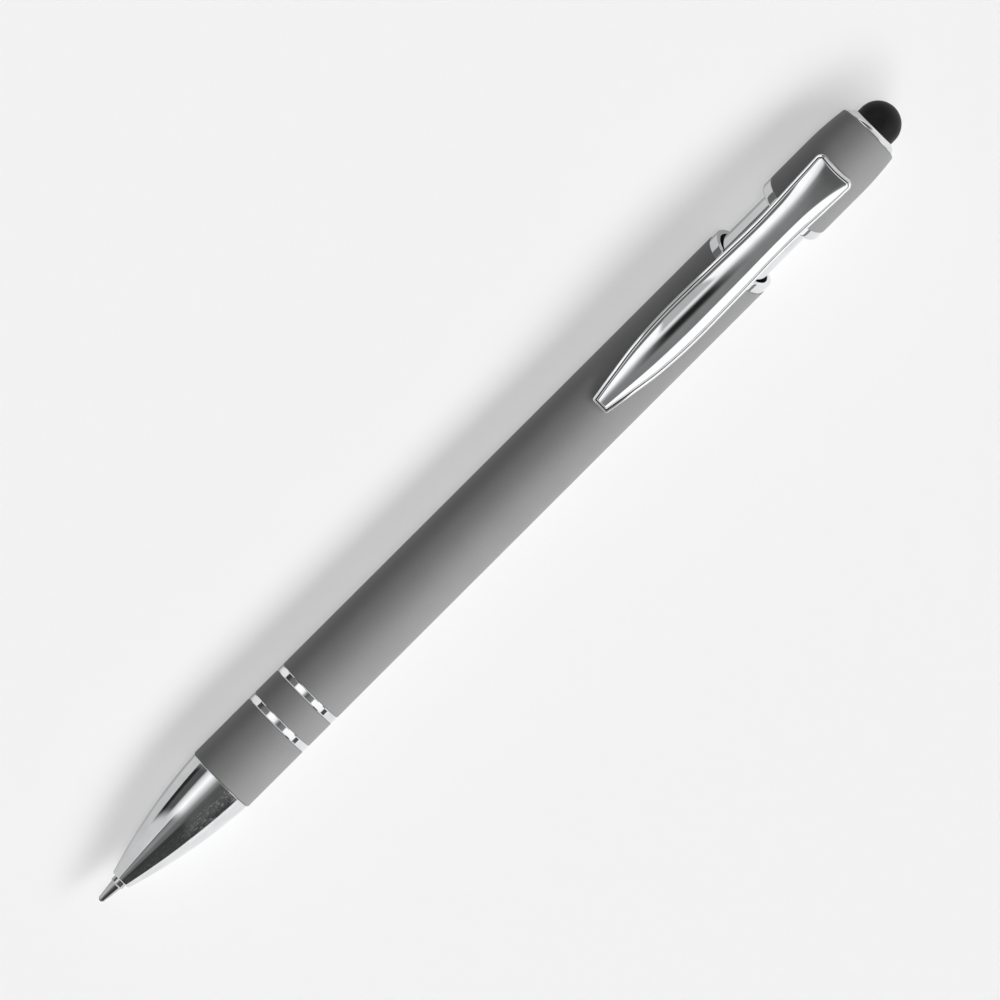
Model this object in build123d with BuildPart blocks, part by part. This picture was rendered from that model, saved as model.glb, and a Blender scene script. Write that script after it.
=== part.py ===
"""Push-action ballpoint pen with a soft stylus end, lying on its side with its clip up.

Sizes are in millimetres. X runs along the pen from the writing tip to the stylus, and Z is up.
The origin is on the surface that the barrel lies on, under the middle of the pen's length.
A station is a distance from the writing tip along the pen's axis. A radius, or a height on the
clip, is a distance from that axis.
"""

import math
import os

from build123d import *

os.makedirs("parts", exist_ok=True)

# Lengths along the pen, from the writing tip to the stylus
point_reach = 3.67
nose_length = 17.73
barrel_length = 91.1
collar_lip_length = 1.25
neck_show = 7.85
cap_ring_length = 1.7
cap_length = 12.5
end_ring_length = 0.9
stylus_reach = 3.7

# Push action: travel of the cap, what it goes past the latch, and the room left at the stop
click_travel = 5.0
over_travel = 1.2
stop_gap = 0.4

# Clearances: fixed pieces, sliding neck, mechanism, thread, and the overrun of every cut
fit_gap = 0.05
slide_gap = 0.05
run_gap = 0.1
thread_gap = 0.05
overrun = 1.0

# Slant of the barrel's rear end and of the cap's front end, in degrees
slant_angle = 21.8

# Barrel and the two rings let into it
barrel_radius = 4.75
barrel_wall = 0.7
barrel_edge = 0.25
ring_setback = 9.7
ring_pitch = 5.0
ring_width = 1.04
ring_depth = 0.3
ring_crown = 0.06

# Bush in the front of the barrel
bush_setback = 0.2
bush_length = 9.0
bush_wall = 0.65

# Nose cone
nose_step = 0.2
nose_bulge = 0.55
nose_steps = 4
nose_rim_radius = 1.36
nose_rim_edge = 0.15
nose_bore_gap = 0.09
nose_bore_length = 2.73
nose_guide_gap = 0.15
nose_guide_length = 3.0
spigot_length = 7.0

# Writing ball and point
ball_radius = 0.35
ball_gap = 0.02
ball_show = 0.2
point_lip_radius = 0.42
point_cone_length = 2.63
point_cone_radius = 0.77
point_shank_radius = 0.93
point_shoulder = 0.2
point_tail_radius = 0.6
point_tail_length = 2.2
ink_channel_radius = 0.2

# Refill: holder, tube and ink
holder_front_radius = 1.15
holder_cone_length = 1.6
holder_length = 2.2
holder_step = 0.1
holder_plug_length = 3.0
holder_passage_radius = 0.5
tube_radius = 1.55
tube_wall = 0.3
ear_length = 2.0
ear_height = 0.5
ear_width = 0.8
ink_length = 60.0

# Return spring
wire_radius = 0.2
wire_sides = 4
spring_length = 14.6
spring_turns = 7
spring_play = 0.125
spring_seat_gap = 0.05
chamber_gap = 0.225

# Rotor, plunger and cam sleeve
rotor_wall = 0.5
rotor_head_length = 3.9
rotor_pin_length = 4.6
rotor_floor = 1.0
fin_count = 4
fin_length = 2.1
fin_width = 1.6
fin_slope = 0.6
fin_side_gap = 0.2
latch_gap = 0.1
tooth_count = 8
tooth_depth = 0.8
tooth_gap = 0.2
plunger_wall = 0.45
plunger_flange_length = 0.6
plunger_flange_step = 0.2
plunger_spigot_length = 5.0
key_setback = 0.6
key_length = 1.6
key_margin = 1.6
rib_height = 0.55
rib_slope = 1.0
skirt_length = 5.5

# Collar and neck
collar_spigot_length = 13.8
collar_wall = 0.35
collar_web = 0.35
collar_lip_step = 0.09
collar_lip_wall = 0.65
collar_edge = 0.3
neck_wall = 0.6

# Cap: front ring, shell, core and end ring
cap_step = 0.05
cap_ring_edge = 0.4
cap_ring_spigot_wall = 0.3
cap_straight = 6.5
cap_tail_radius = 4.27
cap_tail_edge = 0.35
taper_steps = 2
core_plug_length = 9.0
pocket_wall = 0.3
end_lip_length = 2.6
end_lip_step = 0.25
end_spigot_length = 1.7
end_spigot_wall = 0.35
end_ring_radius = 4.0
end_ring_nose_radius = 3.15
end_ring_bulge = 0.12
end_ring_steps = 2

# Stylus dome
dome_radius = 2.94
dome_wall = 0.7
dome_flange = 0.85

# Clip: a thin leaf with a crowned pillow on it, both bowed, and a foot that goes into the cap
clip_length = 42.2
clip_setback = 5.9
clip_width = 5.98
clip_leaf = 0.45
clip_lip = 0.35
clip_bow = 0.7
clip_tip_gap = 0.3
clip_seat_gap = 0.15
clip_hollow_radius = 5.4
pillow_tip = 0.85
pillow_tail = 1.1
pillow_bow = 1.2
pillow_crown_radius = 3.3
clip_corner_radius = 0.7
clip_tail_hollow = 0.25
foot_setback = 0.5
foot_length = 1.9
foot_width = 2.4
foot_depth = 2.1
flex_gap = 0.2

# Plan of the clip from its tip to its tail, as shares of its length and of its width
clip_station_shares = [0.0, 0.09, 0.2, 0.33, 0.52, 0.72, 0.88, 1.0]
clip_width_shares = [0.37, 0.62, 0.845, 0.95, 0.918, 0.855, 0.935, 1.0]

# Stations of the outside, in order along the pen
nose_front = point_reach
barrel_front = nose_front + nose_length
barrel_end = barrel_front + barrel_length
collar_end = barrel_end + collar_lip_length
cap_front = collar_end + neck_show
cap_ring_end = cap_front + cap_ring_length
cap_end = cap_ring_end + cap_length
end_ring_end = cap_end + end_ring_length
pen_length = end_ring_end + stylus_reach

# Placing: the pen lies on its barrel, with its middle over the origin
tip_x = -pen_length / 2
axis_height = barrel_radius
pen_plane = Plane(origin=(tip_x, 0, axis_height), x_dir=(1, 0, 0), z_dir=(0, -1, 0))
pen_axis = Axis((tip_x, 0, axis_height), (1, 0, 0))
slant_cosine = math.cos(math.radians(slant_angle))
slant_sine = math.sin(math.radians(slant_angle))
slant_slope = math.tan(math.radians(slant_angle))

# Radii from the barrel inwards to the neck, and outwards again to the cap
barrel_bore = barrel_radius - barrel_wall
insert_radius = barrel_bore - fit_gap
bush_bore = insert_radius - bush_wall
spigot_radius = bush_bore - thread_gap
guide_bore = insert_radius - collar_wall
neck_radius = guide_bore - slide_gap
neck_bore = neck_radius - neck_wall
plug_radius = neck_bore - fit_gap
cap_radius = barrel_radius - cap_step
cap_ring_bore = neck_radius + fit_gap
cap_ring_spigot_radius = cap_ring_bore + cap_ring_spigot_wall
cap_bore = cap_ring_spigot_radius + fit_gap

# Radii from the refill outwards to the slots of the cam sleeve
tube_bore = tube_radius - tube_wall
rotor_bore = tube_radius + fit_gap
pin_radius = rotor_bore + rotor_wall
plunger_bore = pin_radius + run_gap
plunger_radius = plunger_bore + plunger_wall
rib_radius = plunger_radius + run_gap
slot_radius = rib_radius + rib_height
fin_radius = slot_radius - run_gap

# Stations of the mechanism, from the collar towards the tip
collar_front = barrel_end - collar_spigot_length
rib_front = collar_front - click_travel - key_length - key_margin
sleeve_front = rib_front - skirt_length
rotor_rear = rib_front - latch_gap
rotor_front = rotor_rear - rotor_head_length
pin_end = rotor_rear + rotor_pin_length
tube_end = pin_end - rotor_floor
plunger_front = rotor_rear - tooth_depth + tooth_gap
flange_front = collar_front + over_travel + stop_gap
neck_front = flange_front + plunger_flange_length


def turn(outline):
    """Turn a closed outline of (station, radius) points about the pen's axis."""
    with BuildSketch(pen_plane) as profile:
        with BuildLine():
            Polyline(outline, close=True)
        make_face()
    revolve(profile.sketch, axis=pen_axis)


def bulged(start, end, rise, steps):
    """Points on a shallow curve between two (station, radius) points, standing out by a rise midway."""
    along = end[0] - start[0]
    out = end[1] - start[1]
    points = []
    for step in range(steps + 1):
        share = step / steps
        lean = 4 * rise * share * (1 - share) / math.hypot(along, out)
        points.append((start[0] + along * share - out * lean, start[1] + out * share + along * lean))
    return points


def tube(inner, outer, front, rear):
    """A length of tube about the pen's axis, or a rod where the inner radius is zero."""
    turn([(front, inner), (front, outer), (rear, outer), (rear, inner)])


def square_plane(station):
    """The plane square to the pen at a station, with its own x to +Y and its own y up."""
    return Plane(origin=(tip_x + station, 0, axis_height), x_dir=(0, 1, 0), z_dir=(1, 0, 0))


def slant_plane(station):
    """The slanted plane that crosses the axis at a station, facing the stylus."""
    return Plane(origin=(tip_x + station, 0, axis_height), z_dir=(slant_cosine, 0, slant_sine))


def slant_band(inner, outer, front, rear):
    """A length of tube between two slanted planes."""
    reach = outer * slant_slope + overrun
    with BuildPart() as band:
        tube(inner, outer, front - reach, rear + reach)
        split(bisect_by=slant_plane(front), keep=Keep.TOP)
        split(bisect_by=slant_plane(rear), keep=Keep.BOTTOM)
    return band.part


def radial_plane(station, radius, angle):
    """The plane facing outwards at a radius and an angle, with its own x along the pen."""
    outward = Vector(0, math.cos(angle), math.sin(angle))
    centre = Vector(tip_x + station, 0, axis_height) + outward * radius
    return Plane(origin=centre, x_dir=(1, 0, 0), z_dir=outward)


def fins(station, length, inner, outer, width):
    """Straight fins round the pen's axis, between two radii."""
    with BuildSketch(square_plane(station)) as section:
        with PolarLocations((inner + outer) / 2, fin_count):
            Rectangle(outer - inner + 2 * fit_gap, width)
        Circle(outer, mode=Mode.INTERSECT)
        Circle(inner - fit_gap, mode=Mode.SUBTRACT)
    extrude(section.sketch, amount=length)


def notches(count, turned, station, inner, outer, outline):
    """Cut the same outline radially between two radii, at even steps round the pen's axis."""
    for step in range(count):
        angle = 2 * math.pi * (step + turned) / count
        with BuildSketch(radial_plane(station, inner, angle)) as notch:
            with BuildLine():
                Polyline(outline, close=True)
            make_face()
        extrude(notch.sketch, amount=outer - inner, mode=Mode.SUBTRACT)


# Writing ball: a hard ball, loose in the point's socket
with BuildPart() as writing_ball:
    with Locations((tip_x + ball_radius, 0, axis_height)):
        Sphere(ball_radius)

# Point: cone and shank, with the ball's socket in front and a tail pressed into the holder.
# The lip of the socket closes in on the ball, and a square-pointed cone behind the ball seats it.
nose_bore_end = nose_front + nose_bore_length
holder_front = nose_bore_end + over_travel + stop_gap
cone_end = ball_show + point_cone_length
tail_end = holder_front + point_tail_length
socket_radius = ball_radius + ball_gap
lip_bore = math.sqrt(socket_radius**2 - (ball_radius - ball_show) ** 2)
seat_front = ball_radius + socket_radius * (math.sqrt(2) - 1)
seat_end = seat_front + socket_radius - ink_channel_radius
with BuildPart() as point:
    turn(
        [
            (ball_show, lip_bore),
            (ball_show, point_lip_radius),
            (cone_end, point_cone_radius),
            (cone_end + point_shoulder, point_shank_radius),
            (holder_front, point_shank_radius),
            (holder_front, point_tail_radius),
            (tail_end, point_tail_radius),
            (tail_end, ink_channel_radius),
            (seat_end, ink_channel_radius),
            (seat_front, socket_radius),
            (ball_radius, socket_radius),
        ]
    )

# Point holder: joins the point to the ink tube
holder_radius = tube_radius - holder_step
holder_plug_radius = tube_bore - fit_gap
tube_front = holder_front + holder_length
plug_end = tube_front + holder_plug_length
tail_bore = point_tail_radius + fit_gap
with BuildPart() as point_holder:
    turn(
        [
            (holder_front, tail_bore),
            (holder_front, holder_front_radius),
            (holder_front + holder_cone_length, holder_radius),
            (tube_front, holder_radius),
            (tube_front, holder_plug_radius),
            (plug_end, holder_plug_radius),
            (plug_end, holder_passage_radius),
            (tail_end, holder_passage_radius),
            (tail_end, tail_bore),
        ]
    )

# Ink tube: drawn tube with two ears crimped out of it, which the spring pushes on
chamber_front = nose_bore_end + nose_guide_length
ear_front = chamber_front + spring_length
ear_root = tube_radius - tube_wall / 2
with BuildPart() as ink_tube:
    tube(tube_bore, tube_radius, tube_front, tube_end)
    for side in (1, -1):
        with BuildSketch(pen_plane):
            with BuildLine():
                Polyline(
                    (ear_front, side * ear_root),
                    (ear_front, side * (tube_radius + ear_height)),
                    (ear_front + ear_length, side * tube_radius),
                    (ear_front + ear_length, side * ear_root),
                    close=True,
                )
            make_face()
        extrude(amount=ear_width / 2, both=True)

# Ink: the column of paste behind the holder
ink_radius = tube_bore - fit_gap
with BuildPart() as ink:
    tube(0, ink_radius, plug_end, plug_end + ink_length)

# Return spring: one unbroken wire, wound between the nose and the ears of the ink tube
coil_radius = tube_radius + spring_play + wire_radius
coil_front = chamber_front + spring_seat_gap + wire_radius
coil_rear = ear_front - spring_seat_gap - wire_radius
coil_pitch = (coil_rear - coil_front) / spring_turns


def coil_point(angle):
    """A point on the middle line of the wire."""
    along = tip_x + coil_front + coil_pitch * angle / (2 * math.pi)
    return Vector(along, coil_radius * math.cos(angle), axis_height + coil_radius * math.sin(angle))


def coil_tangent(angle):
    """The direction of the wire."""
    along = coil_pitch / (2 * math.pi)
    return Vector(along, -coil_radius * math.sin(angle), coil_radius * math.cos(angle)).normalized()


def biarc_joint(start, start_tangent, end, end_tangent):
    """The point where two tangent arcs meet between two points with given directions."""
    chord = end - start
    both = start_tangent + end_tangent
    spread = 2 * (1 - start_tangent.dot(end_tangent))
    root = math.sqrt(chord.dot(both) ** 2 + spread * chord.dot(chord))
    reach = (root - chord.dot(both)) / spread
    return (start + end + (start_tangent - end_tangent) * reach) / 2


half_turns = [math.pi * step for step in range(2 * spring_turns + 1)]
with BuildPart() as spring:
    with BuildLine():
        for start_angle, end_angle in zip(half_turns, half_turns[1:]):
            start = coil_point(start_angle)
            end = coil_point(end_angle)
            joint = biarc_joint(start, coil_tangent(start_angle), end, coil_tangent(end_angle))
            first_arc = TangentArc(start, joint, tangent=coil_tangent(start_angle))
            TangentArc(joint, end, tangent=first_arc % 1)
    with BuildSketch(Plane(origin=coil_point(half_turns[0]), z_dir=coil_tangent(half_turns[0]))):
        RegularPolygon(wire_radius, wire_sides)
    sweep(clean=False)

steps_per_turn = 48
coil_steps = range(spring_turns * steps_per_turn)
coil_points = [coil_point(2 * math.pi * step / steps_per_turn) for step in coil_steps]
coil_gap = min(
    (far - near).length - 2 * wire_radius
    for index, near in enumerate(coil_points)
    for far in coil_points[index + steps_per_turn // 2 :]
)
print(f"spring: least gap between turns {coil_gap:.3f} mm, length of wire "
      f"{spring_turns * math.hypot(2 * math.pi * coil_radius, coil_pitch):.1f} mm")

# Nose cone: ogive with a bore for the point, a chamber for the spring and a spigot to screw in
nose_base_radius = barrel_radius - nose_step
nose_bore = point_shank_radius + nose_bore_gap
nose_guide = tube_radius + nose_guide_gap
chamber_radius = coil_radius + wire_radius + chamber_gap
spigot_end = barrel_front + spigot_length
with BuildPart() as nose_cone:
    turn(
        bulged(
            (nose_front, nose_rim_radius),
            (barrel_front, nose_base_radius),
            nose_bulge,
            nose_steps,
        )
        + [
            (barrel_front, spigot_radius),
            (spigot_end, spigot_radius),
            (spigot_end, chamber_radius),
            (chamber_front, chamber_radius),
            (chamber_front, nose_guide),
            (nose_bore_end, nose_guide),
            (nose_bore_end, nose_bore),
            (nose_front, nose_bore),
        ]
    )
    rim_edges = nose_cone.edges().filter_by(GeomType.CIRCLE).group_by(Axis.X)[0]
    chamfer(rim_edges.sort_by(SortBy.RADIUS)[-1], nose_rim_edge)

# Barrel: painted tube with two grooves for the rings and a slanted rear end
groove_floor = barrel_radius - ring_depth
barrel_reach = barrel_end + barrel_radius * slant_slope + overrun
front_ring_station = barrel_front + ring_setback
rear_ring_station = front_ring_station + ring_pitch
with BuildPart() as barrel:
    turn(
        [
            (barrel_front, barrel_bore),
            (barrel_front, barrel_radius),
            (front_ring_station, barrel_radius),
            (front_ring_station, groove_floor),
            (front_ring_station + ring_width, groove_floor),
            (front_ring_station + ring_width, barrel_radius),
            (rear_ring_station, barrel_radius),
            (rear_ring_station, groove_floor),
            (rear_ring_station + ring_width, groove_floor),
            (rear_ring_station + ring_width, barrel_radius),
            (barrel_reach, barrel_radius),
            (barrel_reach, barrel_bore),
        ]
    )
    split(bisect_by=slant_plane(barrel_end), keep=Keep.BOTTOM)
    front_edges = barrel.edges().filter_by(GeomType.CIRCLE).group_by(Axis.X)[0]
    chamfer(front_edges.sort_by(SortBy.RADIUS)[-1], barrel_edge)


def trim_ring(station):
    """A bright ring with a low crown, seated in its groove."""
    ring_end = station + ring_width
    ring_bore = groove_floor + fit_gap
    edge_radius = barrel_radius - ring_crown
    with BuildPart() as ring:
        turn(
            [
                (station, ring_bore),
                (station, edge_radius),
                (station + ring_width / 2, barrel_radius),
                (ring_end, edge_radius),
                (ring_end, ring_bore),
            ]
        )
    return ring


front_ring = trim_ring(front_ring_station)
rear_ring = trim_ring(rear_ring_station)

# Front bush: fixed in the barrel, takes the nose cone's spigot
bush_front = barrel_front + bush_setback
bush_end = bush_front + bush_length
with BuildPart() as front_bush:
    tube(bush_bore, insert_radius, bush_front, bush_end)

# Rotor: cup on the end of the ink tube, with sloped fins that latch and teeth that the plunger pushes
tooth_width = (pin_radius + plunger_radius) * math.tan(math.pi / tooth_count)
with BuildPart() as rotor:
    turn(
        [
            (rotor_front, rotor_bore),
            (rotor_front, plunger_radius),
            (rotor_rear, plunger_radius),
            (rotor_rear, pin_radius),
            (pin_end, pin_radius),
            (pin_end, 0),
            (tube_end, 0),
            (tube_end, rotor_bore),
        ]
    )
    fins(rotor_rear - fin_length, fin_length, plunger_radius, fin_radius, fin_width)
    notches(
        tooth_count,
        0,
        rotor_rear,
        pin_radius,
        plunger_radius + fit_gap,
        [(0, -tooth_width / 2), (-tooth_depth, 0), (0, tooth_width / 2)],
    )
    notches(
        fin_count,
        0,
        rotor_rear,
        plunger_radius,
        fin_radius + fit_gap,
        [(overrun, -fin_width), (0, -fin_width), (-2 * fin_slope, fin_width), (overrun, fin_width)],
    )

# Plunger: toothed tube with keys in the slots of the sleeve, fixed in the front of the neck
key_front = rotor_rear + key_setback
plunger_end = neck_front + plunger_spigot_length
plunger_flange_radius = neck_radius - plunger_flange_step
with BuildPart() as plunger:
    turn(
        [
            (plunger_front, plunger_bore),
            (plunger_front, plunger_radius),
            (flange_front, plunger_radius),
            (flange_front, plunger_flange_radius),
            (neck_front, plunger_flange_radius),
            (neck_front, plug_radius),
            (plunger_end, plug_radius),
            (plunger_end, plunger_bore),
        ]
    )
    notches(
        tooth_count,
        1 / 2,
        plunger_front,
        plunger_bore / 2,
        plunger_radius + fit_gap,
        [(0, -tooth_width / 2), (tooth_depth, 0), (0, tooth_width / 2)],
    )
    fins(key_front, key_length, plunger_radius, fin_radius, fin_width)

# Cam sleeve: fixed in the barrel, with ribs between the slots and saw-tooth ends that latch the rotor
slot_half_angle = math.asin((fin_width / 2 + fin_side_gap) / rib_radius)
rib_half_angle = math.pi / fin_count - slot_half_angle
rib_width = 2 * rib_radius * math.sin(rib_half_angle)
rib_root = (slot_radius + insert_radius) / 2
with BuildPart() as cam_sleeve:
    tube(slot_radius, insert_radius, sleeve_front, collar_front)
    with BuildSketch(square_plane(rib_front)):
        with PolarLocations((rib_radius + rib_root) / 2, fin_count, start_angle=180 / fin_count):
            Rectangle(rib_root - rib_radius + 2 * fit_gap, rib_width)
        Circle(rib_root, mode=Mode.INTERSECT)
        Circle(rib_radius, mode=Mode.SUBTRACT)
    extrude(amount=collar_front - rib_front)
    notches(
        fin_count,
        1 / 2,
        rib_front,
        rib_radius - fit_gap,
        slot_radius,
        [(-fit_gap, -rib_width), (0, -rib_width), (2 * rib_slope, rib_width), (-fit_gap, rib_width)],
    )

# Rear collar: spigot in the barrel that guides the neck, and a plated lip on the slanted end
web_end = barrel_end + collar_web
collar_lip_radius = barrel_radius - collar_lip_step
mouth_radius = collar_lip_radius - collar_lip_wall
collar_reach = web_end + insert_radius * slant_slope + overrun
collar_flange = slant_band(guide_bore, collar_lip_radius, barrel_end, web_end)
collar_lip = slant_band(mouth_radius, collar_lip_radius, barrel_end, collar_end)
with BuildPart() as rear_collar:
    tube(guide_bore, insert_radius, collar_front, collar_reach)
    split(bisect_by=slant_plane(web_end), keep=Keep.BOTTOM)
    add(collar_flange)
    add(collar_lip)
    rear_edges = rear_collar.edges().filter_by(GeomType.ELLIPSE).group_by(Axis.X)[-1]
    chamfer(rear_edges.sort_by(SortBy.LENGTH)[-1], collar_edge)

# Clip foot and the pocket that it stands in, which set where the core begins
clip_rear = cap_end - clip_setback
clip_tip = clip_rear - clip_length
foot_rear = clip_rear - foot_setback
foot_middle = foot_rear - foot_length / 2
foot_bottom = cap_radius - foot_depth
pocket_floor = foot_bottom - flex_gap
pocket_length = foot_length + 2 * flex_gap
pocket_width = foot_width + 2 * flex_gap
core_front = foot_middle - pocket_length / 2 - pocket_wall


def clip_pocket():
    """Cut the clip's pocket down from the top of the cap."""
    with BuildSketch(Plane.XY.offset(axis_height + pocket_floor)) as pocket:
        with Locations((tip_x + foot_middle, 0)):
            Rectangle(pocket_length, pocket_width)
    extrude(pocket.sketch, amount=cap_radius - pocket_floor + overrun, mode=Mode.SUBTRACT)


# Neck tube: plated tube from the plunger to the cap's core
with BuildPart() as neck_tube:
    tube(neck_bore, neck_radius, neck_front, core_front)

# Cap ring: plated ring on the cap's slanted front, with a spigot inside the shell
ring_reach = cap_front - cap_ring_spigot_radius * slant_slope - overrun
ring_band = slant_band(cap_ring_bore, cap_radius, cap_front, cap_ring_end)
with BuildPart() as cap_ring:
    tube(cap_ring_bore, cap_ring_spigot_radius, ring_reach, core_front)
    split(bisect_by=slant_plane(cap_front), keep=Keep.TOP)
    add(ring_band)
    front_edges = cap_ring.edges().filter_by(GeomType.ELLIPSE).group_by(Axis.X)[0]
    chamfer(front_edges.sort_by(SortBy.LENGTH)[-1], cap_ring_edge)

# Cap shell: painted shell that draws in towards the stylus, slotted on top for the clip
end_bore = cap_bore - end_lip_step
shell_step = cap_end - end_lip_length
shell_reach = cap_ring_end - cap_radius * slant_slope - overrun
taper_front = cap_ring_end + cap_straight
with BuildPart() as cap_shell:
    turn(
        [(shell_reach, cap_bore), (shell_reach, cap_radius)]
        + bulged(
            (taper_front, cap_radius),
            (cap_end, cap_tail_radius),
            (cap_radius - cap_tail_radius) / 4,
            taper_steps,
        )
        + [(cap_end, end_bore), (shell_step, end_bore), (shell_step, cap_bore)]
    )
    split(bisect_by=slant_plane(cap_ring_end), keep=Keep.TOP)
    tail_edges = cap_shell.edges().filter_by(GeomType.CIRCLE).group_by(Axis.X)[-1]
    chamfer(tail_edges.sort_by(SortBy.RADIUS)[-1], cap_tail_edge)
    clip_pocket()

# Cap core: moulded piece that joins neck, clip foot and stylus inside the shell
core_radius = cap_bore - fit_gap
end_spigot_radius = end_bore - fit_gap
end_spigot_bore = end_spigot_radius - end_spigot_wall
boss_radius = end_spigot_bore - fit_gap
dome_flange_front = cap_end - fit_gap - dome_flange
with BuildPart() as cap_core:
    turn(
        [
            (core_front - core_plug_length, 0),
            (core_front - core_plug_length, plug_radius),
            (core_front, plug_radius),
            (core_front, core_radius),
            (shell_step, core_radius),
            (shell_step, boss_radius),
            (dome_flange_front, boss_radius),
            (dome_flange_front, 0),
        ]
    )
    clip_pocket()

# End ring: plated ring that traps the stylus dome by its flange
dome_hole = dome_radius + fit_gap
with BuildPart() as end_ring:
    turn(
        bulged(
            (cap_end, end_ring_radius),
            (end_ring_end, end_ring_nose_radius),
            end_ring_bulge,
            end_ring_steps,
        )
        + [
            (end_ring_end, dome_hole),
            (cap_end, dome_hole),
            (cap_end, end_spigot_bore),
            (cap_end - end_spigot_length, end_spigot_bore),
            (cap_end - end_spigot_length, end_spigot_radius),
            (cap_end, end_spigot_radius),
        ]
    )

# Stylus tip: dome of conductive rubber, hollow inside, with a flange at its root
dome_centre = pen_length - dome_radius
dome_inside = dome_radius - dome_wall
with BuildPart() as stylus_tip:
    with BuildSketch(pen_plane):
        with BuildLine():
            JernArc((dome_centre, dome_radius), (1, 0), dome_radius, -90)
            Polyline(
                (pen_length, 0),
                (pen_length - dome_wall, 0),
                (dome_centre, dome_inside),
                (dome_flange_front, dome_inside),
                (dome_flange_front, boss_radius),
                (dome_flange_front + dome_flange, boss_radius),
                (dome_flange_front + dome_flange, dome_radius),
                (dome_centre, dome_radius),
            )
        make_face()
    revolve(axis=pen_axis)

# Clip: a leaf and a crowned pillow, each cut to its plan out of bowed tubes, and a foot under the tail
tip_underside = barrel_radius + clip_tip_gap
tail_underside = cap_radius + clip_seat_gap


def bow(tip_height, tail_height, rise):
    """Centre and radius of the arc that joins the clip's two ends and stands off their chord by a rise."""
    chord = math.hypot(clip_length, tail_height - tip_height)
    radius = (chord**2 / 4 + rise**2) / (2 * rise)
    lean = (radius - rise) / chord
    station = (clip_tip + clip_rear) / 2 + (tail_height - tip_height) * lean
    height = (tip_height + tail_height) / 2 - clip_length * lean
    return station, height, radius


def bowed_tube(arc, section_radius, growth, mode):
    """A ring of round section whose outer line is the arc, thickened all round by a growth.

    It is turned from the circle opposite the clip, so that its seams are away from the clip.
    """
    station, height, radius = arc
    centre = Vector(tip_x + station, 0, axis_height + height)
    opposite = centre - Vector(0, 0, radius - section_radius)
    with BuildSketch(Plane(origin=opposite, x_dir=(0, 0, 1), z_dir=(1, 0, 0))) as section:
        Circle(section_radius + growth)
    revolve(section.sketch, axis=Axis(centre, (0, 1, 0)), mode=mode)


underside = bow(tip_underside, tail_underside, clip_bow)
crown = bow(tip_underside + pillow_tip, tail_underside + pillow_tail, pillow_bow)
clip_height = tip_underside + pillow_tip + tail_underside + pillow_tail + pillow_bow
clip_base = Plane.XY.offset(axis_height + foot_bottom)


def clip_plan(inset):
    """The clip's outline from above, drawn in all round by an inset."""
    sides = [
        (
            tip_x + clip_tip + inset + (clip_length - 2 * inset) * station_share,
            clip_width * width_share / 2 - inset,
        )
        for station_share, width_share in zip(clip_station_shares, clip_width_shares)
    ]
    other_sides = [(along, -across) for along, across in reversed(sides)]
    with BuildSketch(clip_base) as plan:
        with BuildLine():
            Spline(sides)
            ThreePointArc(sides[-1], (sides[-1][0] - clip_tail_hollow, 0), other_sides[0])
            Spline(other_sides)
            Line(other_sides[-1], sides[0])
        make_face()
        fillet(plan.vertices().group_by(Axis.X)[-1], clip_corner_radius - inset)
    return plan.sketch


with BuildPart() as pillow:
    extrude(clip_plan(clip_lip), amount=clip_height)
    bowed_tube(crown, pillow_crown_radius, 0, Mode.INTERSECT)
    bowed_tube(underside, clip_hollow_radius, clip_leaf / 2, Mode.SUBTRACT)

with BuildPart() as clip:
    extrude(clip_plan(0), amount=clip_height)
    bowed_tube(underside, clip_hollow_radius, clip_leaf, Mode.INTERSECT)
    bowed_tube(underside, clip_hollow_radius, 0, Mode.SUBTRACT)
    add(pillow.part)
    with BuildSketch(clip_base):
        with Locations((tip_x + foot_middle, 0)):
            Rectangle(foot_length, foot_width)
    extrude(amount=tail_underside + clip_leaf / 2 - foot_bottom)

pieces = {
    "writing_ball": writing_ball,
    "point": point,
    "point_holder": point_holder,
    "ink_tube": ink_tube,
    "ink": ink,
    "spring": spring,
    "nose_cone": nose_cone,
    "barrel": barrel,
    "front_ring": front_ring,
    "rear_ring": rear_ring,
    "front_bush": front_bush,
    "rotor": rotor,
    "plunger": plunger,
    "cam_sleeve": cam_sleeve,
    "rear_collar": rear_collar,
    "neck_tube": neck_tube,
    "cap_ring": cap_ring,
    "cap_shell": cap_shell,
    "cap_core": cap_core,
    "end_ring": end_ring,
    "stylus_tip": stylus_tip,
    "clip": clip,
}
for name, piece in pieces.items():
    piece.part.label = name
    export_step(piece.part, f"parts/{name}.step")
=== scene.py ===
"""Push-action ballpoint pen with a stylus end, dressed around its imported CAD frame."""

import math

import bmesh
import bpy
from mathutils import Matrix, Vector


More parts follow.
